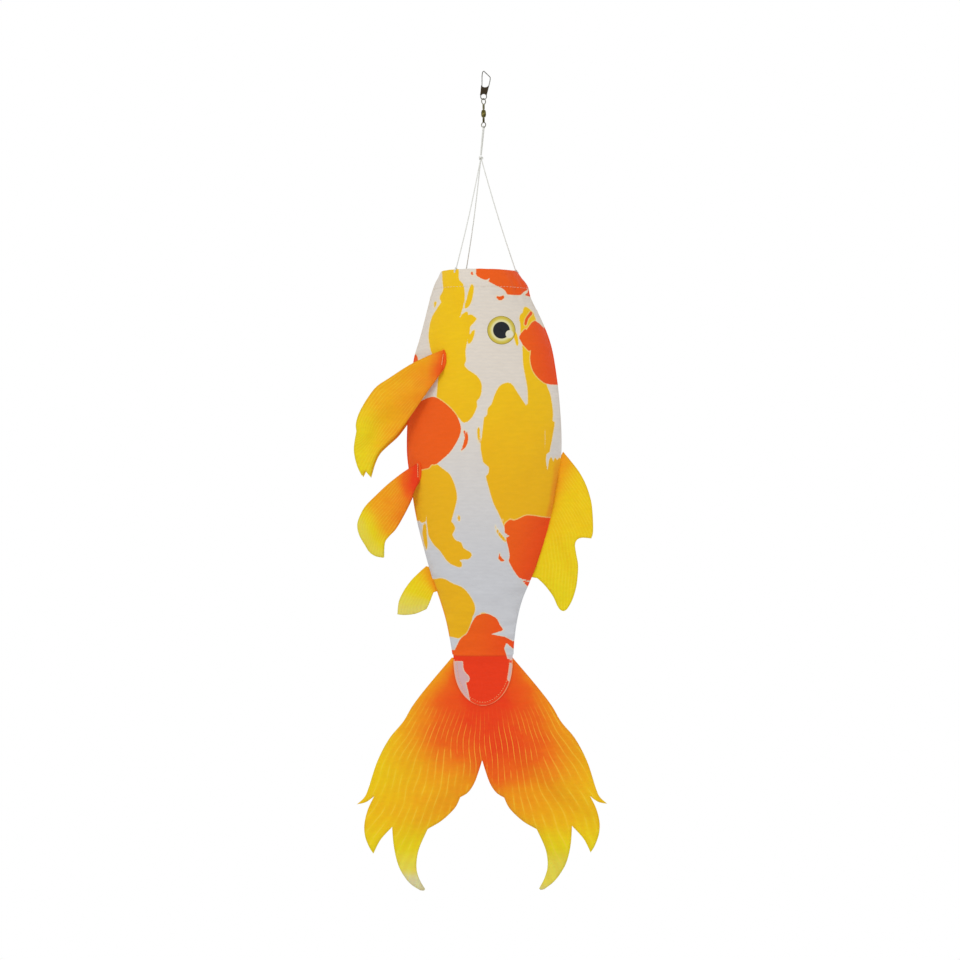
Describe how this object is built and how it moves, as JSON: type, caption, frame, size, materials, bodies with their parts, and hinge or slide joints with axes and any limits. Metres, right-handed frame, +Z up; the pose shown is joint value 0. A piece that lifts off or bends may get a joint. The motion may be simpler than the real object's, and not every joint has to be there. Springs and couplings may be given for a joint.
{
  "type": "carp streamer",
  "caption": "Carp-shaped cloth streamer that hangs head up: hooped mouth, tapering body tube, flexing fins and forked tail, three-line bridle and a swivelling safety snap.",
  "frame": {"origin": "where the inside of the snap's top bend rests on the hook it hangs from", "axes": "+Z up, along the streamer from tail to mouth; +X towards the fish's back, -X its belly; -Y its left side"},
  "size_m": [0.2527, 0.0812, 0.8194],
  "materials": {
    "steel_wire": "bright drawn wire",
    "dark_plate": "dark bronze, satin",
    "barrel_brass": "antique, glossy",
    "white_cord": "twisted, matte",
    "hoop_wire": "drawn",
    "ferrule": "plain",
    "printed_cloth": "fine plain weave, printed",
    "seam": "folded and stitched",
    "eye_print": "printed",
    "tail_cloth": "translucent, printed",
    "fin_cloth": "translucent, printed"
  },
  "bodies": {
    "snap": {"snap_wire_frame": "steel_wire", "snap_plate": "dark_plate"},
    "snap_gate": {"snap_gate_arm": "steel_wire"},
    "upper_eye": {"swivel_upper_eye": "steel_wire"},
    "barrel": {"swivel_barrel": "barrel_brass"},
    "lower_eye": {"swivel_lower_eye": "steel_wire"},
    "lead": {"lead_cord": "white_cord"},
    "fish": {"bridle_knot": "white_cord", "bridle_line_belly": "white_cord", "bridle_line_far": "white_cord", "bridle_line_back": "white_cord", "bridle_ties": "white_cord", "mouth_hoop": "hoop_wire", "hoop_ferrule": "ferrule", "mouth_hem": "printed_cloth", "left_side_panel": "printed_cloth", "right_side_panel": "printed_cloth", "belly_seam": "seam", "back_seam": "seam", "left_eye": "eye_print", "right_eye": "eye_print"},
    "tail": {"left_tail_flap": "printed_cloth", "right_tail_flap": "printed_cloth", "tail_fin": "tail_cloth"},
    "dorsal": {"dorsal_fin": "fin_cloth"},
    "anal": {"anal_fin": "fin_cloth"},
    "left_pectoral": {"left_pectoral_fin": "fin_cloth"},
    "right_pectoral": {"right_pectoral_fin": "fin_cloth"},
    "left_pelvic": {"left_pelvic_fin": "fin_cloth"},
    "right_pelvic": {"right_pelvic_fin": "fin_cloth"}
  },
  "joints": [
    {"name": "gate_open", "type": "hinge", "parent": "snap", "child": "snap_gate", "pos_m": [0, 0, 0.00045], "axis": [0, -1, 0], "range_deg": [0, 35], "stiffness_Nm_per_rad": 0.05},
    {"name": "snap_link", "type": "hinge", "parent": "snap", "child": "upper_eye", "pos_m": [0, 0, -0.025], "axis": [0, 1, 0], "range_deg": [-70, 70]},
    {"name": "upper_spin", "type": "hinge", "parent": "upper_eye", "child": "barrel", "pos_m": [0, 0, -0.0421], "axis": [0, 0, 1], "continuous": true},
    {"name": "lower_spin", "type": "hinge", "parent": "barrel", "child": "lower_eye", "pos_m": [0, 0, -0.0421], "axis": [0, 0, 1], "continuous": true},
    {"name": "lead_swing", "type": "hinge", "parent": "lower_eye", "child": "lead", "pos_m": [0, 0, -0.0558], "axis": [0.8192, -0.5736, 0], "range_deg": [-80, 80]},
    {"name": "bridle_swing", "type": "hinge", "parent": "lead", "child": "fish", "pos_m": [-0.0027, 0, -0.0865], "axis": [0.5736, 0.8192, 0], "range_deg": [-60, 60]},
    {"name": "tail_sway", "type": "hinge", "parent": "fish", "child": "tail", "pos_m": [-0.0005, 0, -0.585], "axis": [1, 0, 0], "range_deg": [-60, 60], "stiffness_Nm_per_rad": 0.004},
    {"name": "dorsal_flap", "type": "hinge", "parent": "fish", "child": "dorsal", "pos_m": [0.06842, 0, -0.4425], "axis": [0.2273, 0, 0.9738], "range_deg": [-80, 80], "stiffness_Nm_per_rad": 0.002},
    {"name": "anal_flap", "type": "hinge", "parent": "fish", "child": "anal", "pos_m": [-0.05164, 0, -0.50706], "axis": [-0.3115, 0, 0.9503], "range_deg": [-80, 80], "stiffness_Nm_per_rad": 0.001},
    {"name": "left_pectoral_flap", "type": "hinge", "parent": "fish", "child": "left_pectoral", "pos_m": [-0.039, -0.02948, -0.291], "axis": [0, 0, 1], "range_deg": [-4, 85], "stiffness_Nm_per_rad": 0.002},
    {"name": "right_pectoral_flap", "type": "hinge", "parent": "fish", "child": "right_pectoral", "pos_m": [-0.039, 0.02948, -0.291], "axis": [0, 0, -1], "range_deg": [-4, 85], "stiffness_Nm_per_rad": 0.002},
    {"name": "left_pelvic_flap", "type": "hinge", "parent": "fish", "child": "left_pelvic", "pos_m": [-0.0635, -0.01381, -0.401], "axis": [0, 0, 1], "range_deg": [-4, 85], "stiffness_Nm_per_rad": 0.002},
    {"name": "right_pelvic_flap", "type": "hinge", "parent": "fish", "child": "right_pelvic", "pos_m": [-0.0635, 0.01381, -0.401], "axis": [0, 0, -1], "range_deg": [-4, 85], "stiffness_Nm_per_rad": 0.002}
  ]
}
